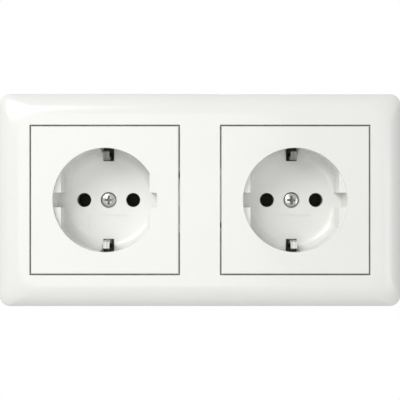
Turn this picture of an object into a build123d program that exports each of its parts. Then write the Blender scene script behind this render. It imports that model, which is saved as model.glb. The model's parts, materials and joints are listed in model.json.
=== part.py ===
from build123d import *
import os
from math import cos, radians, sqrt

# Double wall socket: two earthed round-well sockets behind one two-gang cover frame.
# Millimetres. X runs right and Z up as seen from the front, Y runs into the wall.
# The wall surface is y = 0, and the origin lies midway between the two sockets.
# Each socket's pieces are drawn about its own centre line and then moved to their gang.

# Plug and well
PIN_SPACING = 19.0
PIN_LENGTH = 19.0
PIN_RADIUS = 2.4
PIN_HOLE_RADIUS = 2.75
WELL_RADIUS = 19.5
WELL_DEPTH = 17.5
LUG_DEPTH = 2.9  # how far the side flats stand in from the round wall
LUG_SHELF_DEPTH = 2.3  # front face to the top of the side flats
LUG_NOTCH_WIDTH = 5.5

# Centre plate
PLATE_SIZE = 55.0
PLATE_WALL = 2.0
PLATE_EDGE = 0.3  # bevel round the front face
SKIRT_WALL = 1.5
SKIRT_DEPTH = 2.5
CUP_WALL = 1.5
LUG_WALL = 1.8
FLOOR_THICKNESS = 2.0
COLLAR_WALL = 1.25
COLLAR_LENGTH = 3.0
BOSS_LENGTH = 0.7
LABEL_WIDTH = 15.2
LABEL_HEIGHT = 5.7
LABEL_DROP = 8.7  # label recess centre below the centre line
LABEL_RECESS = 0.25
EARTH_WINDOW_WIDTH = 5.1
EARTH_WINDOW_DEPTH = 4.5  # front face to the top of the window
EARTH_FLOOR_SLOT_WIDTH = 4.2
EARTH_FLOOR_SLOT_START = 15.1

# Centre screw
SCREW_HEAD_RADIUS = 2.9
SCREW_HEAD_HEIGHT = 1.6
SCREW_RADIUS = 1.45
SCREW_REACH = 8.0  # thread length inside the base

# Cover frame
PLATE_GAP = 0.5
FRAME_BORDER = 11.95
FRAME_WALL = 2.2
FRAME_SIDE_ROUND = 1.0
FRAME_CROWN_RADIUS = 10.5
FRAME_CROWN_TILT = 50.0  # degrees, where the crown turns into the side round
FRAME_CORNER_RADIUS = 4.0
FRAME_HOLLOW_BEVEL = 2.5
FRAME_COLLAR_WALL = 2.0
FRAME_LEDGE_WIDTH = 1.5
FRAME_RIB = 1.2
FRAME_RIB_OFFSET = 20.0

# Support ring, staked on the base's corner pegs
RING_THICKNESS = 1.2
RING_CORNER_CUT = 9.0
RING_SPACING = 1.0
BOX_SCREW_SPACING = 60.0
BOX_SLOT_LENGTH = 4.0
BOX_SLOT_RADIUS = 1.75
RING_EDGE = 3.0  # steel left outside a slot
PEG_SIZE = 2.4
PEG_HEAD_SIZE = 3.8
PEG_HEAD_HEIGHT = 0.9

# Base moulding
BASE_WALL = 1.8
BASE_CORNER_CUT = 2.0
BASE_REAR_WALL = 2.0
POST_WALL = 1.0  # base left round a peg
CENTER_WALL = 6.8
CHAMBER_MARGIN = 1.0
DIVIDER = 1.6
LOCATING_RIB = 1.2

# Sheet metal inside the base
CONTACT_SHEET = 0.6
CONTACT_WIDTH = 6.0
BUSBAR_WIDTH = 8.0
BUSBAR_LENGTH = 14.0
LEAF_SQUEEZE = 0.2  # how much closer than the pin radius a leaf stands
LEAF_FLARE = 0.9
LEAF_FLARE_LENGTH = 1.4
EARTH_SHEET = 0.8
EARTH_ARM_WIDTH = 2.4
EARTH_STRAP_HALF_WIDTH = 4.4
EARTH_STRAP_BELOW = 7.0
EARTH_EAR_LENGTH = 15.0
EARTH_ARM_STAND = 17.4
EARTH_BULGE_STAND = 15.0
EARTH_BULGE_DEPTH = 7.7
EARTH_TIP_STAND = 18.3
EARTH_BEND = 1.6

# Push-in wire terminals
CLAMP_SHEET = 0.4
CLAMP_WIDTH = 8.0
WIRE_SPACING = 4.4
CLAMP_DEPTH = 9.2
CLAMP_LENGTH = 9.0
CLAMP_HEEL = 2.0  # height of the bend between the two legs
WIRE_ENTRY = 3.0
WIRE_FUNNEL = 0.5
BUTTON_WIDTH = 6.0
BUTTON_HEIGHT = 2.4
BUTTON_LIP = 0.5
BUTTON_LIP_THICKNESS = 1.4
BUTTON_STAND = 1.6  # how far a button stands out of the rear wall
BUTTON_TRAVEL = 1.5
BUTTON_DROP = 5.4  # busbar face to the middle of the button

# Claws and their screws
CLAW_SHEET = 1.2
CLAW_CHANNEL = 3.8  # inside width between the claw's two cheeks
CLAW_LENGTH = 18.6
CLAW_HEAD_WIDTH = 8.0
CLAW_PIVOT_RADIUS = 1.0
CLAW_PIVOT_DEPTH = 3.6
CLAW_PIVOT_INSET = 1.4
CLAW_ARM_INSET = 4.0  # outer edge of the head to the outer edge of the arm
CLAW_ARM_WIDTH = 3.2
CLAW_TOOTH_HEIGHT = 1.6
CLAW_TOOTH_PITCH = 2.4
CLAW_TOOTH_RISE = 0.8
CLAW_GUIDE = 1.5
CLAW_GUIDE_HEIGHT = 3.5
CLAW_GUIDE_REAR_HEIGHT = 1.5
CLAW_GUIDE_SHOULDER = 7.2  # depth at which a guide starts to slope down
CLAW_SCREW_ARM = 3.8  # pivot to screw axis
CLAW_SCREW_RADIUS = 1.5
CLAW_SCREW_REACH = 8.5
CLAW_HEAD_RADIUS = 2.8
CLAW_HEAD_HEIGHT = 1.8

# Room between pieces
SEAT = 0.05  # a loose face on its seat
FIT = 0.1  # sheet or shank in a moulding
SIDE_ROOM = 0.2  # beside a part that moves
SCREW_ROOM = 0.35  # round a shank that passes through
CUP_ROOM = 0.4
RING_ROOM = 0.6
HEAD_ROOM = 1.45
PIN_END_ROOM = 1.3
CLAW_SIDE_ROOM = 0.3
CLAW_WEB_ROOM = 0.6
TRUNNION_ROOM = 0.06
BUTTON_END_ROOM = 0.5
CUT = 0.5  # how far a cutter runs past the face it opens

# Depths, front to back
RING_FRONT_Y = -RING_THICKNESS
LEDGE_Y = RING_FRONT_Y - SEAT - CLAW_HEAD_HEIGHT - HEAD_ROOM
FRONT_Y = LEDGE_Y - SKIRT_DEPTH - PLATE_WALL
SHELF_Y = FRONT_Y + LUG_SHELF_DEPTH
FLOOR_Y = FRONT_Y + WELL_DEPTH
CUP_BACK_Y = FLOOR_Y + FLOOR_THICKNESS
COLLAR_BACK_Y = CUP_BACK_Y + COLLAR_LENGTH
STRAP_FRONT_Y = CUP_BACK_Y + BOSS_LENGTH
SEAT_Y = STRAP_FRONT_Y + EARTH_SHEET
CONTACT_BACK_Y = FLOOR_Y + PIN_LENGTH + PIN_END_ROOM + CONTACT_SHEET
REAR_INNER_Y = CONTACT_BACK_Y + FIT
REAR_Y = REAR_INNER_Y + BASE_REAR_WALL
FRAME_COLLAR_BACK_Y = RING_FRONT_Y - SIDE_ROOM

# Distances from a socket's centre line
PIN_OFFSET = PIN_SPACING / 2
SCREW_PASSAGE = 2 * (SCREW_RADIUS + SCREW_ROOM)
LUG_FLAT = WELL_RADIUS - LUG_DEPTH
LUG_OUTER = LUG_FLAT + LUG_WALL
NOTCH_HALF = LUG_NOTCH_WIDTH / 2
BUMP_HALF = NOTCH_HALF + CUP_WALL
CUP_RADIUS = WELL_RADIUS + CUP_WALL
SHELF_REACH = WELL_RADIUS + LUG_WALL
RECESS_RADIUS = CUP_RADIUS + CUP_ROOM
RING_HOLE_RADIUS = CUP_RADIUS + RING_ROOM
POST_INNER = RECESS_RADIUS / sqrt(2) + FIT
PEG_OFFSET = POST_INNER + POST_WALL + PEG_SIZE / 2
BASE_HALF = PEG_OFFSET + PEG_SIZE / 2 + POST_WALL
CHAMBER_HALF = BASE_HALF - BASE_WALL
COLLAR_HALF = PIN_HOLE_RADIUS + COLLAR_WALL
CHAMBER_TOP = COLLAR_HALF + CHAMBER_MARGIN
EARTH_CHAMBER_BOTTOM = CHAMBER_TOP + DIVIDER
EARTH_FACE = EARTH_STRAP_HALF_WIDTH - EARTH_SHEET
EARTH_CLAMP_Z = EARTH_CHAMBER_BOTTOM + CLAMP_WIDTH / 2 + SIDE_ROOM
EARTH_EAR_TOP = EARTH_CLAMP_Z + CLAMP_WIDTH / 2
EARTH_CHAMBER_LEFT = EARTH_FACE - CLAMP_DEPTH - FIT
EARTH_CHAMBER_RIGHT = EARTH_STRAP_HALF_WIDTH + DIVIDER
BUSBAR_FACE = -(CHAMBER_HALF - FIT - CLAMP_DEPTH)

# Claw places on the right of a socket; the left claw is the same turned half a turn
CLAW_INNER = BASE_HALF + CLAW_SIDE_ROOM
CLAW_PIVOT = CLAW_INNER + CLAW_PIVOT_INSET
CLAW_SCREW = CLAW_PIVOT + CLAW_SCREW_ARM
CLAW_HALF = CLAW_CHANNEL / 2 + CLAW_SHEET
GUIDE_INNER_Z = BUMP_HALF + CUP_ROOM
CLAW_Z = GUIDE_INNER_Z + CLAW_GUIDE + SIDE_ROOM + CLAW_HALF
CLAW_FRONT_Y = CLAW_PIVOT_DEPTH - CLAW_PIVOT_INSET

# Whole sizes
RING_SIZE = BOX_SCREW_SPACING + BOX_SLOT_LENGTH + 2 * RING_EDGE
PITCH = RING_SIZE + RING_SPACING
APERTURE = PLATE_SIZE + 2 * PLATE_GAP
FRAME_HEIGHT = APERTURE + 2 * FRAME_BORDER
FRAME_WIDTH = FRAME_HEIGHT + PITCH
GANGS = {"left": -PITCH / 2, "right": PITCH / 2}

# A terminal's own frame: x across its two wires, y into the wall, wires below its busbar face
TERMINALS = {
    "live": Pos(-PIN_OFFSET, 0, BUSBAR_FACE),
    "neutral": Pos(PIN_OFFSET, 0, BUSBAR_FACE),
    "earth": Pos(EARTH_FACE, 0, EARTH_CLAMP_Z) * Rot(0, 90, 0),
}


def prism(outline, y_front, y_back):
    """A front-view outline (x right, z up) carried from one depth to another."""
    return extrude(Plane.XZ.offset(-y_back) * outline, amount=y_back - y_front)


def span(x_low, x_high, z_low, z_high):
    """A front-view rectangle between two corners."""
    centre = Pos((x_low + x_high) / 2, (z_low + z_high) / 2)
    return centre * Rectangle(x_high - x_low, z_high - z_low)


def bent_sheet(line, thickness, width):
    """A strip bent along a (y, z) line, its sheet on the line's left, centred on x = 0."""
    edge = offset(line, amount=thickness, side=Side.LEFT, kind=Kind.INTERSECTION)
    return extrude(Plane.YZ * make_face(edge), amount=width / 2, both=True)


def rod(x, z, radius, y_front, y_back):
    """A round bar that runs into the wall."""
    return prism(Pos(x, z) * Circle(radius), y_front, y_back)


def rolled_section(half_width):
    """Right half of a bar's cross-section on the wall: upright side, side round, gentle crown."""
    tilt = radians(FRAME_CROWN_TILT)
    drop = FRAME_SIDE_ROUND * cos(tilt) + FRAME_CROWN_RADIUS * (1 - cos(tilt))
    turn = FRAME_CROWN_TILT - 90
    side = JernArc((half_width, FRONT_Y + drop), (0, -1), FRAME_SIDE_ROUND, turn)
    crown = JernArc(side @ 1, side % 1, FRAME_CROWN_RADIUS, -FRAME_CROWN_TILT)
    rest = Polyline(crown @ 1, (0, FRONT_Y), (0, 0), (half_width, 0), side @ 0)
    return make_face([side, crown, rest])


def rolled_bar(length, width):
    """A bar along Z standing on the wall, both its long edges rolled."""
    half = rolled_section(width / 2)
    return extrude(half + mirror(half, Plane.YZ), amount=length / 2, both=True)


def rolled_slab():
    """The frame's outer shape: rolled edges that meet in mitres, the corners turned round."""
    slab = rolled_bar(FRAME_HEIGHT, FRAME_WIDTH)
    slab &= Rot(0, 90, 0) * rolled_bar(FRAME_WIDTH, FRAME_HEIGHT)
    reach = FRAME_CORNER_RADIUS
    axis_x = FRAME_WIDTH / 2 - reach
    axis_z = FRAME_HEIGHT / 2 - reach
    squares = Rectangle(FRAME_WIDTH, FRAME_HEIGHT)
    squares -= Rectangle(2 * axis_x, FRAME_HEIGHT) + Rectangle(FRAME_WIDTH, 2 * axis_z)
    rim = Pos(-axis_x, 0) * rolled_section(FRAME_WIDTH / 2)
    rim &= Pos(reach / 2, FRONT_Y / 2) * Rectangle(reach, -FRONT_Y)
    corner = Pos(axis_x, 0, -axis_z) * revolve(rim, Axis.Y, 90)
    corners = corner + mirror(corner, Plane.YZ)
    return slab - prism(squares, FRONT_Y, 0) + corners + mirror(corners, Plane.XY)


def cover_frame():
    """Two-gang frame: crowned front, hollow back, a collar and corner ledges round each plate."""
    roof = FRONT_Y + FRAME_WALL + FRAME_HOLLOW_BEVEL
    inside = Rectangle(FRAME_WIDTH - 2 * FRAME_WALL, FRAME_HEIGHT - 2 * FRAME_WALL)
    hollow = prism(inside, roof, 0)
    hollow += extrude(Plane.XZ.offset(-roof) * inside, FRAME_HOLLOW_BEVEL, taper=45)
    outer = APERTURE + 2 * FRAME_COLLAR_WALL
    ledge = APERTURE - 2 * FRAME_LEDGE_WIDTH
    notch = 2 * (CLAW_Z + CLAW_HEAD_RADIUS + SIDE_ROOM)
    ribs = Sketch()
    for z in (-FRAME_RIB_OFFSET, FRAME_RIB_OFFSET):
        ribs += Pos(0, z) * Rectangle(FRAME_WIDTH, FRAME_RIB)
        for x in GANGS.values():
            ribs += Pos(x + z, 0) * Rectangle(FRAME_RIB, FRAME_HEIGHT)
    hollow -= prism(ribs, FRONT_Y, FRAME_COLLAR_BACK_Y)
    corners = Rectangle(outer, outer) - Rectangle(notch, outer) - Rectangle(outer, notch)
    for x in GANGS.values():
        hollow -= prism(Pos(x, 0) * Rectangle(outer, outer), FRONT_Y, LEDGE_Y)
        hollow -= prism(Pos(x, 0) * corners, LEDGE_Y, FRAME_COLLAR_BACK_Y)
    frame = rolled_slab() - hollow
    for x in GANGS.values():
        frame -= prism(Pos(x, 0) * Rectangle(APERTURE, APERTURE), FRONT_Y - CUT, LEDGE_Y)
        frame -= prism(Pos(x, 0) * Rectangle(ledge, ledge), LEDGE_Y, 0)
        for width, height in ((notch, outer), (outer, notch)):
            frame -= prism(Pos(x, 0) * Rectangle(width, height), LEDGE_Y, 0)
    return frame


def lug_corners(flat, half_notch, reach):
    """The four side areas beyond a flat, above and below the notch."""
    corners = Sketch()
    for side in (-1, 1):
        for level in (-1, 1):
            x = side * (flat + reach) / 2
            z = level * (half_notch + reach) / 2
            corners += Pos(x, z) * Rectangle(reach - flat, reach - half_notch)
    return corners


def center_plate():
    """Square plate with the plug well moulded into it: lugs, pin collars, earth windows."""
    square = Rectangle(PLATE_SIZE, PLATE_SIZE)
    inner = Rectangle(PLATE_SIZE - 2 * SKIRT_WALL, PLATE_SIZE - 2 * SKIRT_WALL)
    plate = prism(square, FRONT_Y, LEDGE_Y) - prism(inner, FRONT_Y + PLATE_WALL, LEDGE_Y)
    front_edges = plate.faces().sort_by(Axis.Y)[0].edges()
    plate = chamfer(front_edges, PLATE_EDGE)
    cup_outline = Circle(CUP_RADIUS) - lug_corners(LUG_OUTER, BUMP_HALF, CUP_RADIUS)
    plate += prism(lug_corners(LUG_FLAT, BUMP_HALF, SHELF_REACH), FRONT_Y, SHELF_Y + LUG_WALL)
    plate += prism(cup_outline, FRONT_Y, CUP_BACK_Y)
    boss = Rectangle(2 * (PIN_OFFSET + COLLAR_HALF), 2 * COLLAR_HALF)
    plate += prism(boss, CUP_BACK_Y, STRAP_FRONT_Y)
    for x in (-PIN_OFFSET, PIN_OFFSET):
        collar = Pos(x, 0) * Rectangle(2 * COLLAR_HALF, 2 * COLLAR_HALF)
        plate += prism(collar, STRAP_FRONT_Y, COLLAR_BACK_Y)
    well_outline = Circle(WELL_RADIUS) - lug_corners(LUG_FLAT, NOTCH_HALF, WELL_RADIUS)
    plate -= rod(0, 0, WELL_RADIUS, FRONT_Y - CUT, SHELF_Y)
    plate -= prism(well_outline, SHELF_Y, FLOOR_Y)
    for x in (-PIN_OFFSET, PIN_OFFSET):
        plate -= rod(x, 0, PIN_HOLE_RADIUS, FLOOR_Y - CUT, COLLAR_BACK_Y + CUT)
    plate -= rod(0, 0, SCREW_HEAD_RADIUS + SIDE_ROOM, FLOOR_Y - CUT, FLOOR_Y + SCREW_HEAD_HEIGHT)
    passage = Rectangle(SCREW_PASSAGE, SCREW_PASSAGE)
    plate -= prism(passage, FLOOR_Y, STRAP_FRONT_Y + CUT)
    label = Pos(0, -LABEL_DROP) * Rectangle(LABEL_WIDTH, LABEL_HEIGHT)
    plate -= prism(label, FLOOR_Y - CUT, FLOOR_Y + LABEL_RECESS)
    window = EARTH_WINDOW_WIDTH / 2
    slot = EARTH_FLOOR_SLOT_WIDTH / 2
    inside = WELL_RADIUS - CUP_WALL
    outside = CUP_RADIUS + CUT
    for turn in (0, 180):
        wall_cut = span(-window, window, inside, outside)
        floor_cut = span(-slot, slot, EARTH_FLOOR_SLOT_START, outside)
        plate -= Rot(0, turn, 0) * prism(wall_cut, FRONT_Y + EARTH_WINDOW_DEPTH, FLOOR_Y)
        plate -= Rot(0, turn, 0) * prism(floor_cut, FLOOR_Y - CUT, CUP_BACK_Y + CUT)
    return plate


def headed_screw(x, z, head_radius, radius, y_head, y_seat, y_end):
    """A round-headed screw that runs into the wall, its thread left plain."""
    return rod(x, z, head_radius, y_head, y_seat) + rod(x, z, radius, y_seat, y_end)


def center_screw():
    """Fixing screw whose head lies flush in the well floor."""
    seat = FLOOR_Y + SCREW_HEAD_HEIGHT
    end = SEAT_Y + SCREW_REACH
    return headed_screw(0, 0, SCREW_HEAD_RADIUS, SCREW_RADIUS, FLOOR_Y, seat, end)


def claw_sides(piece):
    """A piece of the right-hand claw and the same piece turned half a turn for the left."""
    return {"right": piece, "left": Rot(0, 180, 0) * piece}


def support_ring():
    """Sheet steel ring: two box screw slots, square holes for claw screws and base pegs."""
    sheet = Rectangle(RING_SIZE, RING_SIZE)
    sheet = chamfer(sheet.vertices(), RING_CORNER_CUT) - Circle(RING_HOLE_RADIUS)
    slot = SlotOverall(BOX_SLOT_LENGTH, 2 * BOX_SLOT_RADIUS)
    claw_hole = Rectangle(2 * (CLAW_SCREW_RADIUS + SIDE_ROOM), 2 * (CLAW_SCREW_RADIUS + SIDE_ROOM))
    for side in (-1, 1):
        sheet -= Pos(side * BOX_SCREW_SPACING / 2, 0) * slot
        sheet -= Pos(side * CLAW_SCREW, side * CLAW_Z) * claw_hole
    for x in (-PEG_OFFSET, PEG_OFFSET):
        for z in (-PEG_OFFSET, PEG_OFFSET):
            sheet -= Pos(x, z) * Rectangle(PEG_SIZE + 2 * SEAT, PEG_SIZE + 2 * SEAT)
    return prism(sheet, RING_FRONT_Y, 0)


def claw_guides():
    """Two fins on the base's right side, notched from the front for the claw's trunnions."""
    foot = LUG_OUTER + CUP_ROOM
    tall = BASE_HALF + CLAW_GUIDE_HEIGHT
    low = BASE_HALF + CLAW_GUIDE_REAR_HEIGHT
    half_notch = CLAW_PIVOT_RADIUS + TRUNNION_ROOM
    notch_y = CLAW_PIVOT_DEPTH + half_notch
    fin = make_face(
        Polyline(
            (foot, RING_THICKNESS),
            (CLAW_PIVOT - half_notch, RING_THICKNESS),
            (CLAW_PIVOT - half_notch, notch_y),
            (CLAW_PIVOT + half_notch, notch_y),
            (CLAW_PIVOT + half_notch, RING_THICKNESS),
            (tall, RING_THICKNESS),
            (tall, CLAW_GUIDE_SHOULDER),
            (low, SEAT_Y),
            (low, REAR_INNER_Y),
            (foot, REAR_INNER_Y),
            close=True,
        )
    )
    guides = Part()
    for side in (-1, 1):
        middle = CLAW_Z + side * (CLAW_HALF + SIDE_ROOM + CLAW_GUIDE / 2)
        guides += Pos(0, 0, middle) * extrude(fin, amount=CLAW_GUIDE / 2, both=True)
    return guides


def terminal_openings():
    """Wire funnels and a button window through the rear wall, in a terminal's own frame."""
    cutters = Part()
    rear_face = Plane.XZ.offset(-REAR_Y)
    mouth = WIRE_ENTRY + 2 * WIRE_FUNNEL
    for x in (-WIRE_SPACING / 2, WIRE_SPACING / 2):
        middle = Pos(x, -WIRE_ENTRY / 2)
        throat = middle * Rectangle(WIRE_ENTRY, WIRE_ENTRY)
        cutters += prism(throat, REAR_INNER_Y - CUT, REAR_Y + CUT)
        cutters += extrude(rear_face * (middle * Rectangle(mouth, mouth)), WIRE_FUNNEL, taper=45)
    window = Rectangle(BUTTON_WIDTH + 2 * SIDE_ROOM, BUTTON_HEIGHT + 2 * SIDE_ROOM)
    return cutters + prism(Pos(0, -BUTTON_DROP) * window, REAR_INNER_Y - CUT, REAR_Y + CUT)


def socket_base():
    """Base moulding: corner posts with pegs, hoods, contact chambers open in front, claw guides."""
    outline = chamfer(Rectangle(2 * BASE_HALF, 2 * BASE_HALF).vertices(), BASE_CORNER_CUT)
    hood = Rectangle(EARTH_WINDOW_WIDTH + 2 * BASE_WALL, 2 * (RECESS_RADIUS + BASE_WALL))
    beyond = 2 * (BASE_HALF + CUT)
    room = Rectangle(2 * POST_INNER, beyond) + Rectangle(beyond, 2 * POST_INNER)
    hood_room = Rectangle(EARTH_WINDOW_WIDTH, 2 * RECESS_RADIUS)
    base = prism(outline, 0, REAR_Y) - prism(room, -CUT, SEAT_Y)
    base += prism(hood, 0, SEAT_Y + BASE_WALL)
    base -= prism(hood_room, -CUT, SEAT_Y)
    base -= rod(0, 0, RECESS_RADIUS, -CUT, SEAT_Y)
    middle = CENTER_WALL / 2
    top = (EARTH_CHAMBER_BOTTOM, CHAMBER_HALF)
    bottom = (-CHAMBER_HALF, CHAMBER_TOP)
    chambers = span(EARTH_CHAMBER_LEFT, EARTH_CHAMBER_RIGHT, *top)
    chambers += span(EARTH_CHAMBER_RIGHT + DIVIDER, CHAMBER_HALF, *top)
    chambers += span(-CHAMBER_HALF, EARTH_CHAMBER_LEFT - DIVIDER, *top)
    chambers += span(-CHAMBER_HALF, -middle, *bottom)
    chambers += span(middle, CHAMBER_HALF, *bottom)
    base -= prism(chambers, SEAT_Y - CUT, REAR_INNER_Y)
    rib_gap = BUSBAR_WIDTH / 2 + SIDE_ROOM
    half_rib = LOCATING_RIB / 2
    for turn in (0, 180):
        inner_rib = span(middle, PIN_OFFSET - rib_gap, -half_rib, half_rib)
        outer_rib = span(PIN_OFFSET + rib_gap, CHAMBER_HALF, -half_rib, half_rib)
        base += Rot(0, turn, 0) * prism(inner_rib + outer_rib, COLLAR_BACK_Y + FIT, REAR_INNER_Y)
    pocket = Rectangle(2 * SCREW_RADIUS + SCREW_ROOM, 2 * SCREW_RADIUS + SCREW_ROOM)
    base -= prism(pocket, SEAT_Y - CUT, SEAT_Y + SCREW_REACH + FIT)
    for place in TERMINALS.values():
        base -= place * terminal_openings()
    for x in (-PEG_OFFSET, PEG_OFFSET):
        for z in (-PEG_OFFSET, PEG_OFFSET):
            shank = Pos(x, z) * Rectangle(PEG_SIZE, PEG_SIZE)
            head = Pos(x, z) * Rectangle(PEG_HEAD_SIZE, PEG_HEAD_SIZE)
            base += prism(shank, RING_FRONT_Y, CUT)
            base += prism(head, RING_FRONT_Y - PEG_HEAD_HEIGHT, RING_FRONT_Y)
    for guides in claw_sides(claw_guides()).values():
        base += guides
    return base


def pin_contact(side):
    """Brass contact: two sprung leaves on an outer web, and a busbar below them for the wires."""
    leaf = PIN_RADIUS - LEAF_SQUEEZE
    front = COLLAR_BACK_Y + FIT
    half = BUSBAR_WIDTH / 2
    web = half - CONTACT_SHEET
    section = Polyline(
        (front, leaf + LEAF_FLARE),
        (front + LEAF_FLARE_LENGTH, leaf),
        (CONTACT_BACK_Y, leaf),
    )
    blade = bent_sheet(section, CONTACT_SHEET, CONTACT_WIDTH)
    blade = Pos(web - CONTACT_WIDTH / 2, 0, 0) * blade
    profile = span(web, half, BUSBAR_FACE, leaf + CONTACT_SHEET)
    profile += span(-half, half, BUSBAR_FACE, BUSBAR_FACE + CONTACT_SHEET)
    contact = blade + mirror(blade, Plane.XY)
    contact += prism(profile, CONTACT_BACK_Y - BUSBAR_LENGTH, CONTACT_BACK_Y)
    if side < 0:
        contact = mirror(contact, Plane.YZ)
    return Pos(side * PIN_OFFSET, 0, 0) * contact


def earth_bracket():
    """Earth contact: a strap under the centre screw, two sprung arms and a folded-back ear."""
    bends = FilletPolyline(
        (FRONT_Y + EARTH_WINDOW_DEPTH + EARTH_SHEET, EARTH_TIP_STAND),
        (FRONT_Y + EARTH_BULGE_DEPTH, EARTH_BULGE_STAND),
        (STRAP_FRONT_Y, EARTH_ARM_STAND),
        (STRAP_FRONT_Y, EARTH_STRAP_BELOW - EARTH_SHEET),
        radius=(EARTH_BEND, 0),
    )
    arm = bent_sheet(bends, EARTH_SHEET, EARTH_ARM_WIDTH)
    half = EARTH_STRAP_HALF_WIDTH
    strap = span(-half, half, -EARTH_STRAP_BELOW, EARTH_EAR_TOP)
    strap -= Rectangle(SCREW_PASSAGE, SCREW_PASSAGE)
    ear = span(EARTH_FACE, half, EARTH_CHAMBER_BOTTOM + SIDE_ROOM, EARTH_EAR_TOP)
    bracket = prism(strap, STRAP_FRONT_Y, SEAT_Y) + arm + Rot(0, 180, 0) * arm
    return bracket + prism(ear, STRAP_FRONT_Y, SEAT_Y + EARTH_EAR_LENGTH)


def clamp_spring():
    """Bent leaf spring that presses two wires up against a busbar, in a terminal's own frame."""
    lip_front = REAR_INNER_Y - SIDE_ROOM - BUTTON_LIP_THICKNESS
    heel_y = lip_front - BUTTON_TRAVEL - BUTTON_END_ROOM
    leg = Polyline(
        (heel_y - CLAMP_LENGTH, -CLAMP_DEPTH),
        (heel_y, -CLAMP_DEPTH),
        (heel_y, CLAMP_HEEL - CLAMP_DEPTH),
        (heel_y - CLAMP_LENGTH, -CLAMP_SHEET - SIDE_ROOM),
    )
    return bent_sheet(leg, CLAMP_SHEET, CLAMP_WIDTH)


def release_button():
    """Push button behind a clamp spring: stem through the rear wall, lip inside it."""
    lip_back = REAR_INNER_Y - SIDE_ROOM
    lip_width = BUTTON_WIDTH + 2 * (SIDE_ROOM + BUTTON_LIP)
    lip_height = BUTTON_HEIGHT + 2 * (SIDE_ROOM + BUTTON_LIP)
    lip = prism(Rectangle(lip_width, lip_height), lip_back - BUTTON_LIP_THICKNESS, lip_back)
    stem = prism(Rectangle(BUTTON_WIDTH, BUTTON_HEIGHT), lip_back, REAR_Y + BUTTON_STAND)
    end_edges = stem.faces().sort_by(Axis.Y)[-1].edges()
    return Pos(0, 0, -BUTTON_DROP) * (lip + chamfer(end_edges, BUTTON_LIP))


def claw():
    """Spreading claw: two toothed cheeks, a front web for its screw, a rear web, trunnions."""
    head = CLAW_INNER + CLAW_HEAD_WIDTH
    arm_outer = head - CLAW_ARM_INSET
    arm_inner = arm_outer - CLAW_ARM_WIDTH
    rear_y = CLAW_FRONT_Y + CLAW_LENGTH
    neck_y = CLAW_FRONT_Y + CLAW_HEAD_WIDTH
    arm_y = neck_y + CLAW_ARM_WIDTH
    outline = [
        (CLAW_INNER, CLAW_FRONT_Y),
        (head, CLAW_FRONT_Y),
        (head, CLAW_PIVOT_DEPTH + CLAW_PIVOT_RADIUS),
        (arm_outer, neck_y),
    ]
    for tooth in (2, 1):
        root_y = rear_y - tooth * CLAW_TOOTH_PITCH + CLAW_TOOTH_RISE
        outline.append((arm_outer, root_y))
        outline.append((arm_outer + CLAW_TOOTH_HEIGHT, root_y + CLAW_TOOTH_RISE))
    outline += [
        (arm_outer - CLAW_TOOTH_RISE, rear_y),
        (arm_inner, arm_y),
        (CLAW_INNER, neck_y - CLAW_ARM_WIDTH),
    ]
    cheek = make_face(Polyline(*outline, close=True))
    body = Part()
    for side in (-1, 1):
        middle = CLAW_Z + side * (CLAW_CHANNEL + CLAW_SHEET) / 2
        body += Pos(0, 0, middle) * extrude(cheek, amount=CLAW_SHEET / 2, both=True)
        pivot_z = CLAW_Z + side * (CLAW_HALF + (SIDE_ROOM + CLAW_GUIDE) / 2)
        trunnion = Cylinder(CLAW_PIVOT_RADIUS, SIDE_ROOM + CLAW_GUIDE)
        body += Pos(CLAW_PIVOT, CLAW_PIVOT_DEPTH, pivot_z) * trunnion
    front_web = span(CLAW_INNER, head, CLAW_Z - CLAW_HALF, CLAW_Z + CLAW_HALF)
    hole = 2 * (CLAW_SCREW_RADIUS + CLAW_WEB_ROOM)
    front_web -= Pos(CLAW_SCREW, CLAW_Z) * Rectangle(hole, hole)
    web_y = CLAW_PIVOT_DEPTH - CLAW_SHEET / 2
    body += prism(front_web, web_y, web_y + CLAW_SHEET)
    rear_web = span(arm_inner, arm_inner + CLAW_SHEET, CLAW_Z - CLAW_HALF, CLAW_Z + CLAW_HALF)
    return body + prism(rear_web, arm_y, rear_y - CLAW_ARM_WIDTH)


def claw_screw():
    """Screw that draws the claw's web towards the ring."""
    seat = RING_FRONT_Y - SEAT
    head = seat - CLAW_HEAD_HEIGHT
    return headed_screw(
        CLAW_SCREW, CLAW_Z, CLAW_HEAD_RADIUS, CLAW_SCREW_RADIUS, head, seat, CLAW_SCREW_REACH
    )


def socket_nodes():
    """Every piece of one socket, about its own centre line."""
    nodes = {
        "center_plate": center_plate(),
        "center_screw": center_screw(),
        "support_ring": support_ring(),
        "socket_base": socket_base(),
        "live_contact": pin_contact(-1),
        "neutral_contact": pin_contact(1),
        "earth_bracket": earth_bracket(),
    }
    for name, place in TERMINALS.items():
        nodes[f"{name}_clamp_spring"] = place * clamp_spring()
        nodes[f"{name}_release_button"] = place * release_button()
    for side, piece in claw_sides(claw()).items():
        nodes[f"{side}_claw"] = piece
    for side, piece in claw_sides(claw_screw()).items():
        nodes[f"{side}_claw_screw"] = piece
    return nodes


os.makedirs("parts", exist_ok=True)
export_step(cover_frame(), "parts/cover_frame.step")
for socket_piece, solid in socket_nodes().items():
    for gang, gang_x in GANGS.items():
        export_step(Pos(gang_x, 0, 0) * solid, f"parts/{gang}_{socket_piece}.step")
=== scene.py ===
import json
from math import asin, cos, radians, sin, tau

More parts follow.
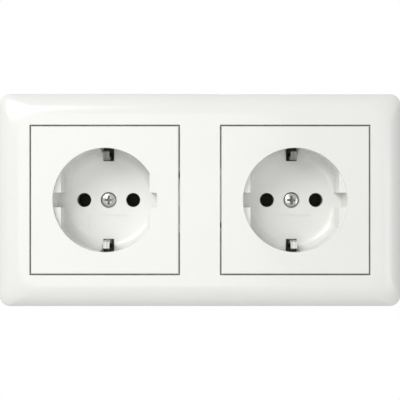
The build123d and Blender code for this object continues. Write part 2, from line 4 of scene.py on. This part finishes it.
import bmesh
import bpy
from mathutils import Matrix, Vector

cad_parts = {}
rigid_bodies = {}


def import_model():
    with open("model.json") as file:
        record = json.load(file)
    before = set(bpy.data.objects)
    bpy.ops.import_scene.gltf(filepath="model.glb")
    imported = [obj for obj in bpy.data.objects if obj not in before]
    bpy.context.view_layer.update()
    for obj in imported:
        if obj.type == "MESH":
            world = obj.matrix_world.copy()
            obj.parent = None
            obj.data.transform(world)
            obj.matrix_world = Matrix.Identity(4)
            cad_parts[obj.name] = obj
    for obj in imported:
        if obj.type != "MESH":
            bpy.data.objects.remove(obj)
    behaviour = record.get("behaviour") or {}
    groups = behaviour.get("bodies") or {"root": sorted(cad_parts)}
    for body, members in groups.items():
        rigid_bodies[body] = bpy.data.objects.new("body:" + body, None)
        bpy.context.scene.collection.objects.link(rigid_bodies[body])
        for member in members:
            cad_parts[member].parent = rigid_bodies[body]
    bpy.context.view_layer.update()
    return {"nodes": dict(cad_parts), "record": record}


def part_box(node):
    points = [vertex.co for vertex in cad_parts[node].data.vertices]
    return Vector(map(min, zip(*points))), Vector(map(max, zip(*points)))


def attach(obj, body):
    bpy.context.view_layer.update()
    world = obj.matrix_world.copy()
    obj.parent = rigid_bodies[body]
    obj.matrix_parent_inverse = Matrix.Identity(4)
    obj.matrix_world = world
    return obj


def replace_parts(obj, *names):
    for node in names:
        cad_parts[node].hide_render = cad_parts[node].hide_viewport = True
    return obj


# Double wall socket: finishes for the solids, and the fine shapes that the solids leave plain
for leftover in list(bpy.data.objects):
    bpy.data.objects.remove(leftover)

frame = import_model()
nodes = frame["nodes"]
GANGS = ("left", "right")
SIDES = ("left", "right")
MM = 0.001

# Camera: square on to the front, in metres and image pixels
FRONT_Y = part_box("cover_frame")[0].y
CAMERA_DISTANCE = 0.400
CAMERA_CLIP = 0.01
FOCAL_PIXELS = 1074.0
IMAGE_PIXELS = 400
SENSOR_MM = 36.0

# Light: an even world, and soft boxes as place, width, height and power
WORLD_LIGHT = 0.36
LAMP_TARGET = Vector((0, 0, 0))
LAMPS = {
    "key": (Vector((-0.44, -0.65, 0.44)), 0.60, 0.45, 5.1),
    "front": (Vector((-0.09, -0.59, 0)), 0.30, 0.30, 0.50),
    "fill": (Vector((0.62, -0.62, -0.12)), 0.40, 0.40, 1.0),
    "back": (Vector((0.30, 0.90, 0.35)), 0.60, 0.60, 4.5),
}

# Floor, which fades out from the middle of its radius to its rim
FLOOR_DROP = 0.30
FLOOR_RADIUS = 0.90
FLOOR_FADE_START = 0.5 * FLOOR_RADIUS
FLOOR_STEPS = 96
FLOOR_DARK = (0.74, 0.74, 0.74)
FLOOR_LIGHT = (0.78, 0.78, 0.78)

# Frame crown, as in the solids but a skin's depth inside them, its corner radius growing inwards
FRAME_SIDE_ROUND = 1.0 * MM
FRAME_SIDE_STEPS = 16
FRAME_CROWN_RADIUS = 10.5 * MM
FRAME_CROWN_TILT = radians(50)
FRAME_CROWN_STEPS = 20
FRAME_CORNER = 4.0 * MM
FRAME_CORNER_GROWTH = 0.7
FRAME_SKIN = 0.03 * MM
FRAME_BACK_ROOM = 1.0 * MM
CORNER_STEPS = 20
JOIN_DISTANCE = 0.001 * MM

# Gap round a plate, as in the solids, and the eased edge of the frame's openings
PLATE_GAP = 0.5 * MM
OPENING_CORNER = 0.5 * MM
EASE_WIDTH = 0.15 * MM
EASE_DEPTH = 0.40 * MM
EASE_REACH = (-1, 2)

# Plug well, as in the solids, and the cove between its wall and floor
WELL_RADIUS = 19.5 * MM
LUG_FLAT = 16.6 * MM
NOTCH_HALF = 2.75 * MM
WINDOW_HALF = 2.55 * MM
WALL_STEPS = 24
FLAT_STEPS = 6
COVE_RADIUS = 3.5 * MM
COVE_STEPS = 8
COVE_NOTCH_SHARE = 0.15
COVE_SINK = 0.05 * MM

# Screws
CENTER_SEAT = 1.6 * MM
CENTER_SHANK = 1.45 * MM
CLAW_SEAT = 1.8 * MM
CLAW_SHANK = 1.5 * MM
TURN_STEPS = 48
HEAD_DOME = 0.45 * MM
HEAD_EDGE = 0.25 * MM
DOME_STEPS = 10
DOME_START_SHARE = 0.05
THREAD_PITCH = 0.7 * MM
THREAD_DEPTH = 0.3 * MM
STEPS_PER_PITCH = 8
RECESS_REACH = 1.9 * MM
RECESS_HALF_WIDTH = 0.5 * MM
RECESS_DEPTH = 1.5 * MM
RECESS_TOP_SHARE = 1.25
RECESS_TIP_SHARE = 0.08

# Edges that turn by more than this stay sharp, in degrees
SHARP_EDGE = 35
COVE_SHARP_EDGE = 40

# Where in a texture's range a two-colour ramp starts and ends
RAMP_SPAN = (0.3, 0.7)


def set_inputs(node, **values):
    """Sets a node's sockets by name, with underscores for spaces."""
    for name, value in values.items():
        node.inputs[name.replace("_", " ")].default_value = value
    return node


class Shader:
    """A material's node tree, with short calls for the nodes that the finishes share."""

    def __init__(self, name):
        self.material = bpy.data.materials.new(name)
        self.material.use_nodes = True
        self.tree = self.material.node_tree
        self.surface = self.tree.nodes["Principled BSDF"]
        self.place = self.add("ShaderNodeTexCoord").outputs["Object"]

    def add(self, kind, **settings):
        """A new node with some of its own settings."""
        node = self.tree.nodes.new(kind)
        for name, value in settings.items():
            setattr(node, name, value)
        return node

    def link(self, source, target):
        """Joins an output to an input."""
        self.tree.links.new(source, target)

    def stretched(self, scale):
        """Object coordinates scaled per axis, which draws a texture out along one of them."""
        mapping = self.add("ShaderNodeMapping")
        mapping.inputs["Scale"].default_value = scale
        self.link(self.place, mapping.inputs["Vector"])
        return mapping.outputs["Vector"]

    def noise(self, scale, detail, place=None):
        """A cloudy texture, in object coordinates unless a place is given."""
        node = set_inputs(self.add("ShaderNodeTexNoise"), Scale=scale, Detail=detail)
        self.link(place or self.place, node.inputs["Vector"])
        return node.outputs["Fac"]

    def between(self, value, low, high, start=0, end=1):
        """A number that runs from low to high as a value runs from start to end."""
        node = set_inputs(self.add("ShaderNodeMapRange"), To_Min=low, To_Max=high)
        set_inputs(node, From_Min=start, From_Max=end)
        self.link(value, node.inputs["Value"])
        return node.outputs["Result"]

    def ramp(self, factor, first, second):
        """A colour that runs from first to second over the middle of a texture's range."""
        node = self.add("ShaderNodeValToRGB")
        for band, position, color in zip(node.color_ramp.elements, RAMP_SPAN, (first, second)):
            band.position = position
            band.color = (*color, 1)
        self.link(factor, node.inputs["Fac"])
        return node.outputs["Color"]

    def painted_shade_along(self, color, axis, start, end, share):
        """Painted shade: a colour that darkens to a share of itself between two places along an axis.
        """
        split = self.add("ShaderNodeSeparateXYZ")
        self.link(self.place, split.inputs["Vector"])
        scaled = self.add("ShaderNodeVectorMath", operation="SCALE")
        self.link(color, scaled.inputs["Vector"])
        self.link(self.between(split.outputs[axis], 1, share, start, end), scaled.inputs["Scale"])
        return scaled.outputs["Vector"]

    def bump(self, height, strength, distance):
        """Relief in the surface from a texture."""
        node = set_inputs(self.add("ShaderNodeBump"), Strength=strength, Distance=distance)
        self.link(height, node.inputs["Height"])
        self.link(node.outputs["Normal"], self.surface.inputs["Normal"])

    def paint(self, **sources):
        """Links textures to the surface's sockets by name."""
        for name, source in sources.items():
            self.link(source, self.surface.inputs[name.replace("_", " ")])


def gloss_plastic(name, shade, light):
    """Smooth moulded plastic: faint clouding, a slightly uneven gloss, a trace of orange peel."""
    shader = Shader(name)
    shader.paint(
        Base_Color=shader.ramp(shader.noise(scale=35, detail=2), shade, light),
        Roughness=shader.between(shader.noise(scale=240, detail=4), low=0.15, high=0.22),
    )
    shader.bump(shader.noise(scale=900, detail=2), strength=0.05, distance=0.05 * MM)
    set_inputs(shader.surface, IOR=1.49)
    return shader.material


def matte_plastic(name, dark, light):
    """Spark-eroded moulding: fine grain in the surface, dull and slightly mottled."""
    shader = Shader(name)
    grain = shader.noise(scale=2600, detail=3)
    shader.paint(
        Base_Color=shader.ramp(shader.noise(scale=70, detail=4), dark, light),
        Roughness=shader.between(grain, low=0.45, high=0.62),
    )
    shader.bump(grain, strength=0.25, distance=0.04 * MM)
    return shader.material


def sheet_metal(name, dark, light, rough, along, fades=()):
    """Rolled sheet: streaks along the rolling direction, its gloss clouded, with painted shade
    darkening it along some axes.
    """
    shader = Shader(name)
    streaks = shader.noise(scale=60, detail=5, place=shader.stretched(along))
    color = shader.ramp(streaks, dark, light)
    for fade in fades:
        color = shader.painted_shade_along(color, *fade)
    clouds = shader.noise(scale=120, detail=4)
    shader.paint(
        Base_Color=color,
        Roughness=shader.between(clouds, low=rough - 0.08, high=rough + 0.10),
    )
    shader.bump(streaks, strength=0.12, distance=0.03 * MM)
    set_inputs(shader.surface, Metallic=1.0)
    return shader.material


WHITE = gloss_plastic("white_plastic", shade=(0.788, 0.792, 0.766), light=(0.80, 0.804, 0.778))
DARK = matte_plastic("dark_plastic", dark=(0.042, 0.042, 0.043), light=(0.058, 0.058, 0.060))
GREY = matte_plastic("grey_plastic", dark=(0.17, 0.18, 0.19), light=(0.22, 0.23, 0.24))
ZINC = sheet_metal(
    "zinc_steel", dark=(0.50, 0.52, 0.55), light=(0.66, 0.67, 0.66), rough=0.32, along=(1, 1, 14)
)
# Painted shade on the spring strips: darker deeper in, where the arms run into the dark floor slot
PAINTED_SHADE_DEEP = ("Y", -1 * MM, 1 * MM, 0.12)
# Painted shade: the upper arm darker than the lower, as it faces down away from the lamps
PAINTED_SHADE_TOP = ("Z", -14 * MM, 14 * MM, 0.45)
SPRING = sheet_metal(
    "spring_steel",
    dark=(0.50, 0.50, 0.48),
    light=(0.86, 0.86, 0.84),
    rough=0.24,
    along=(18, 1, 1),
    fades=(PAINTED_SHADE_DEEP, PAINTED_SHADE_TOP),
)
BRASS = sheet_metal(
    "brass", dark=(0.30, 0.22, 0.11), light=(0.44, 0.34, 0.18), rough=0.34, along=(14, 1, 1)
)
PLATED = sheet_metal(
    "plated_screw", dark=(0.36, 0.36, 0.35), light=(0.50, 0.50, 0.49), rough=0.22, along=(6, 1, 6)
)

FINISHES = {
    "white_plastic": WHITE,
    "dark_plastic": DARK,
    "grey_plastic": GREY,
    "zinc_steel": ZINC,
    "spring_steel": SPRING,
    "brass": BRASS,
    "plated_screw": PLATED,
}
for subpart in frame["record"]["subparts"]:
    for holder in nodes[subpart["node"]].material_slots:
        holder.material = FINISHES[subpart["material_slot"]]


def steps(low, high, count):
    """Evenly spaced numbers from low to high, both ends included."""
    return [low + (high - low) * k / count for k in range(count + 1)]


def smoothed(mesh, sharp_edge=SHARP_EDGE):
    """A mesh shaded smooth but for its sharp edges."""
    mesh.shade_smooth()
    mesh.set_sharp_from_angle(angle=radians(sharp_edge))
    return mesh


def finished_mesh(name, bm, sharp_edge=SHARP_EDGE):
    """A smooth mesh with outward normals."""
    bmesh.ops.recalc_face_normals(bm, faces=bm.faces)
    mesh = bpy.data.meshes.new(name)
    bm.to_mesh(mesh)
    bm.free()
    return smoothed(mesh, sharp_edge)


def add_piece(name, mesh, body, slot):
    """A piece of the scene's own that moves with a CAD body."""
    piece = bpy.data.objects.new(name, mesh)
    bpy.context.scene.collection.objects.link(piece)
    mesh.materials.clear()
    mesh.materials.append(FINISHES[slot])
    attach(piece, body)
    return piece


def skin(bm, rails, closed):
    """Quads between neighbouring rows of vertices, and between the last and first row if closed."""
    pairs = list(zip(rails, rails[1:]))
    if closed:
        pairs.append((rails[-1], rails[0]))
    for one, other in pairs:
        for k in range(len(one) - 1):
            bm.faces.new((one[k], one[k + 1], other[k + 1], other[k]))


def quarter_outline(inset):
    """A quarter of the well's outline, that far inside its wall: round wall, then the lug's flat."""
    radius = WELL_RADIUS - inset
    flat = LUG_FLAT - inset
    turns = steps(asin(WINDOW_HALF / radius), asin(flat / radius), WALL_STEPS)
    line = [(radius * sin(turn), radius * cos(turn)) for turn in turns]
    return line + [(flat, z) for z in steps(line[-1][1], NOTCH_HALF, FLAT_STEPS)[1:]]


def cove_shares(count):
    """The cove's size along a quarter: full on the round wall, less along the flat to the notch."""
    flat = steps(1, COVE_NOTCH_SHARE, FLAT_STEPS)
    return [1] * (count - FLAT_STEPS) + flat[1:]


def cove_mesh(middle, floor_y):
    """Hollow rounding along the foot of the well's wall, in four stretches between its openings."""
    turns = steps(0, radians(90), COVE_STEPS)
    section = [(COVE_RADIUS * (1 - cos(t)), COVE_RADIUS * (1 - sin(t))) for t in turns]
    section.append((-COVE_SINK, -COVE_SINK))
    shares = cove_shares(len(quarter_outline(0)))
    bm = bmesh.new()
    for side in (-1, 1):
        for level in (-1, 1):
            rails = []
            for inset, lift in section:
                rail = []
                for k, share in enumerate(shares):
                    x, z = quarter_outline(inset * share)[k]
                    place = (middle.x + side * x, floor_y - lift * share, middle.z + level * z)
                    rail.append(bm.verts.new(place))
                rails.append(rail)
            skin(bm, rails, closed=True)
            for end in (0, -1):
                bm.faces.new([rail[end] for rail in rails])
    return finished_mesh("cove", bm, COVE_SHARP_EDGE)


def turned_mesh(name, middle, rows):
    """A mesh turned about a line into the wall, from (depth, radius) rows, its ends closed."""
    bm = bmesh.new()
    rails = []
    for depth, radius in rows:
        ring = []
        for k in range(TURN_STEPS):
            turn = tau * k / TURN_STEPS
            reach = radius(turn) if callable(radius) else radius
            place = (middle.x + reach * cos(turn), depth, middle.z + reach * sin(turn))
            ring.append(bm.verts.new(place))
        rails.append(ring)
    skin(bm, [ring + ring[:1] for ring in rails], closed=False)
    for end in (0, -1):
        bm.faces.new(rails[end])
    return finished_mesh(name, bm)


def recess_mesh(middle, front):
    """A cross that narrows with depth, to be cut out of a screw head."""
    bm = bmesh.new()
    rails = []
    ends = ((front - HEAD_DOME, RECESS_TOP_SHARE), (front + RECESS_DEPTH, RECESS_TIP_SHARE))
    for depth, share in ends:
        reach = RECESS_REACH * share
        half = RECESS_HALF_WIDTH * share
        ring = []
        for across, along in ((1, 0), (0, 1), (-1, 0), (0, -1)):
            for out, aside in ((reach, -half), (reach, half), (half, half)):
                x = across * out - along * aside
                z = along * out + across * aside
                ring.append(bm.verts.new((middle.x + x, depth, middle.z + z)))
        rails.append(ring)
    skin(bm, [ring + ring[:1] for ring in rails], closed=False)
    for ring in rails:
        bm.faces.new(ring)
    return finished_mesh("recess", bm)


def carved(mesh, tool_mesh, operation):
    """A mesh with another cut out of it, or with only what lies inside the other kept."""
    block = bpy.data.objects.new("block", mesh)
    tool = bpy.data.objects.new("tool", tool_mesh)
    for thing in (block, tool):
        bpy.context.scene.collection.objects.link(thing)
    cut = block.modifiers.new("cut", "BOOLEAN")
    cut.object = tool
    cut.solver = "EXACT"
    cut.operation = operation
    ready = block.evaluated_get(bpy.context.evaluated_depsgraph_get())
    result = bpy.data.meshes.new_from_object(ready)
    for thing in (block, tool):
        bpy.data.objects.remove(thing)
    return smoothed(result)


def screw_mesh(node, seat_height, shank):
    """A domed head with a cross recess on a threaded shank, in the place of a plain CAD screw."""
    low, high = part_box(node)
    middle = (low + high) / 2
    head = (high.x - low.x) / 2
    front = low.y
    seat = front + seat_height

    def ridge(depth):
        """The thread's radius at a depth, as a function of the turn about the screw's line."""
        return lambda turn: shank - THREAD_DEPTH * (0.5 + 0.5 * cos(tau * depth / THREAD_PITCH - turn))

    face = head - HEAD_EDGE
    dome = steps(DOME_START_SHARE * face, face, DOME_STEPS)
    rows = [(front + HEAD_DOME * (r / face) ** 2, r) for r in dome]
    rows += [(front + HEAD_DOME + HEAD_EDGE, head), (seat, head), (seat, shank)]
    count = round((high.y - seat) / THREAD_PITCH * STEPS_PER_PITCH)
    rows += [(depth, ridge(depth)) for depth in steps(seat, high.y - THREAD_DEPTH, count)[1:]]
    rows.append((high.y, shank - 2 * THREAD_DEPTH))
    return carved(turned_mesh(node, middle, rows), recess_mesh(middle, front), "DIFFERENCE")


def body_of_node(node):
    """The name of the CAD body that carries a node."""
    for name, members in frame["record"]["behaviour"]["bodies"].items():
        if node in members:
            return name


def crown_rows():
    """(inset, drop) pairs from the frame's upright side over its round and crown to the flat front."""
    tilt = FRAME_CROWN_TILT
    drop = FRAME_SIDE_ROUND * cos(tilt) + FRAME_CROWN_RADIUS * (1 - cos(tilt))
    rows = []
    for turn in steps(radians(90), tilt, FRAME_SIDE_STEPS):
        rows.append((FRAME_SIDE_ROUND * (1 - sin(turn)), drop - FRAME_SIDE_ROUND * cos(turn)))
    start = rows[-1][0]
    for turn in steps(tilt, 0, FRAME_CROWN_STEPS)[1:]:
        inset = start + FRAME_CROWN_RADIUS * (sin(tilt) - sin(turn))
        rows.append((inset, FRAME_CROWN_RADIUS * (1 - cos(turn))))
    return rows


def rounded_loop(bm, half_x, half_z, corner, depth):
    """A ring of vertices round a rectangle with rounded corners, first vertex repeated at the end."""
    loop = []
    for across, up, start in ((1, 1, 0), (-1, 1, 90), (-1, -1, 180), (1, -1, 270)):
        for turn in steps(radians(start), radians(start + 90), CORNER_STEPS):
            x = across * (half_x - corner) + corner * cos(turn)
            z = up * (half_z - corner) + corner * sin(turn)
            loop.append(bm.verts.new((x, depth, z)))
    return loop + loop[:1]


def cushion_mesh(low, high):
    """The frame's outer shape with crowned edges that flow round its corners without a crease."""
    half_x = high.x - FRAME_SKIN
    half_z = high.z - FRAME_SKIN
    bm = bmesh.new()
    rails = [rounded_loop(bm, half_x, half_z, FRAME_CORNER, high.y + FRAME_BACK_ROOM)]
    for inset, drop in crown_rows():
        corner = FRAME_CORNER + FRAME_CORNER_GROWTH * inset
        depth = low.y + FRAME_SKIN + drop
        rails.append(rounded_loop(bm, half_x - inset, half_z - inset, corner, depth))
    skin(bm, rails, closed=False)
    for end in (0, -1):
        bm.faces.new(rails[end][:-1])
    return finished_mesh("cushion", bm)


def easing_mesh(front):
    """Blocks that narrow with depth, wider than the frame's openings at the front only.

    They reach from one easing depth before the front to two behind it.
    """
    bm = bmesh.new()
    for gang in GANGS:
        low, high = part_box(f"{gang}_center_plate")
        half = (high.x - low.x) / 2 + PLATE_GAP
        rails = []
        for level in EASE_REACH:
            reach = half + EASE_WIDTH * (1 - level)
            rails.append(rounded_loop(bm, reach, reach, OPENING_CORNER, front + level * EASE_DEPTH))
        skin(bm, rails, closed=False)
        for rail in rails:
            bm.faces.new(rail[:-1])
            bmesh.ops.translate(bm, verts=rail[:-1], vec=((low.x + high.x) / 2, 0, 0))
    return finished_mesh("easing", bm)


def joined_copy(node):
    """A CAD node's mesh in the part's frame, its faces joined along their borders."""
    bm = bmesh.new()
    bm.from_mesh(nodes[node].data)
    bm.transform(nodes[node].matrix_world)
    bmesh.ops.remove_doubles(bm, verts=bm.verts, dist=JOIN_DISTANCE)
    mesh = bpy.data.meshes.new(node)
    bm.to_mesh(mesh)
    bm.free()
    layer = mesh.attributes.get("custom_normal")
    if layer:
        mesh.attributes.remove(layer)
    return mesh


def make_frame():
    """The cover frame, its corners flowing instead of mitred and the edges of its openings eased."""
    low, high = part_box("cover_frame")
    shape = carved(joined_copy("cover_frame"), cushion_mesh(low, high), "INTERSECT")
    shape = carved(shape, easing_mesh(low.y), "DIFFERENCE")
    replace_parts(add_piece("cover_frame_crowned", shape, "root", "white_plastic"), "cover_frame")


def make_screws():
    """Threaded screws with a cross recess: one in each well, and one for each claw."""
    for gang in GANGS:
        sizes = {f"{gang}_center_screw": (CENTER_SEAT, CENTER_SHANK)}
        for side in SIDES:
            sizes[f"{gang}_{side}_claw_screw"] = (CLAW_SEAT, CLAW_SHANK)
        for node, size in sizes.items():
            shape = screw_mesh(node, *size)
            piece = add_piece(f"{node}_threaded", shape, body_of_node(node), "plated_screw")
            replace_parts(piece, node)


def make_coves():
    """A cove round the foot of each well, centred on the well's screw."""
    for gang in GANGS:
        low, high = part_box(f"{gang}_center_screw")
        add_piece(f"{gang}_cove", cove_mesh((low + high) / 2, low.y), "root", "white_plastic")


def make_camera():
    """A camera square on to the front."""
    lens = bpy.data.cameras.new("camera")
    lens.sensor_width = SENSOR_MM
    lens.lens = SENSOR_MM * FOCAL_PIXELS / IMAGE_PIXELS
    lens.clip_start = CAMERA_CLIP
    camera = bpy.data.objects.new("camera", lens)
    camera.location = (0, FRONT_Y - CAMERA_DISTANCE, 0)
    camera.rotation_euler = (radians(90), 0, 0)
    bpy.context.scene.collection.objects.link(camera)
    bpy.context.scene.camera = camera


def background_rays(tree):
    """1 for rays that show the background itself: straight ones, mirrored ones, seen-through ones."""
    path = tree.nodes.new("ShaderNodeLightPath")
    total = path.outputs["Is Camera Ray"]
    for other in ("Is Glossy Ray", "Is Transmission Ray"):
        add = tree.nodes.new("ShaderNodeMath")
        add.operation = "MAXIMUM"
        tree.links.new(total, add.inputs[0])
        tree.links.new(path.outputs[other], add.inputs[1])
        total = add.outputs["Value"]
    return total


def make_world():
    """White where it is seen or mirrored, dimmer as a light on the object."""
    world = bpy.data.worlds.new("studio")
    world.use_nodes = True
    bpy.context.scene.world = world
    tree = world.node_tree
    light = set_inputs(tree.nodes["Background"], Color=(1, 1, 1, 1))
    level = set_inputs(tree.nodes.new("ShaderNodeMapRange"), To_Min=WORLD_LIGHT, To_Max=1)
    tree.links.new(background_rays(tree), level.inputs["Value"])
    tree.links.new(level.outputs["Result"], light.inputs["Strength"])


def make_lamp(name, place, width, height, power):
    """A soft box that faces the object."""
    data = bpy.data.lights.new(name, "AREA")
    data.shape = "RECTANGLE"
    data.size = width
    data.size_y = height
    data.energy = power
    lamp = bpy.data.objects.new(name, data)
    lamp.location = place
    lamp.rotation_euler = (LAMP_TARGET - place).to_track_quat("-Z", "Y").to_euler()
    bpy.context.scene.collection.objects.link(lamp)


def floor_material():
    """Pale, dull and faintly mottled, and clear towards the rim."""
    shader = Shader("floor")
    distance = shader.add("ShaderNodeVectorMath", operation="LENGTH")
    shader.link(shader.stretched((1, 1, 0)), distance.inputs[0])
    shader.paint(
        Base_Color=shader.ramp(shader.noise(scale=6, detail=2), FLOOR_DARK, FLOOR_LIGHT),
        Alpha=shader.between(distance.outputs["Value"], 1, 0, FLOOR_FADE_START, FLOOR_RADIUS),
    )
    set_inputs(shader.surface, Roughness=0.8)
    return shader.material


def make_floor():
    """A round floor well below the wall plate, which fades out before it reaches the main view."""
    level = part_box("cover_frame")[0].z - FLOOR_DROP
    bm = bmesh.new()
    bmesh.ops.create_circle(bm, cap_ends=True, radius=FLOOR_RADIUS, segments=FLOOR_STEPS)
    bmesh.ops.translate(bm, verts=bm.verts, vec=(0, 0, level))
    mesh = bpy.data.meshes.new("floor")
    bm.to_mesh(mesh)
    bm.free()
    mesh.materials.append(floor_material())
    floor = bpy.data.objects.new("floor", mesh)
    bpy.context.scene.collection.objects.link(floor)


make_frame()
make_screws()
make_coves()
make_camera()
make_world()
for lamp_name, setting in LAMPS.items():
    make_lamp(lamp_name, *setting)
make_floor()
bpy.context.scene.view_settings.view_transform = "Standard"
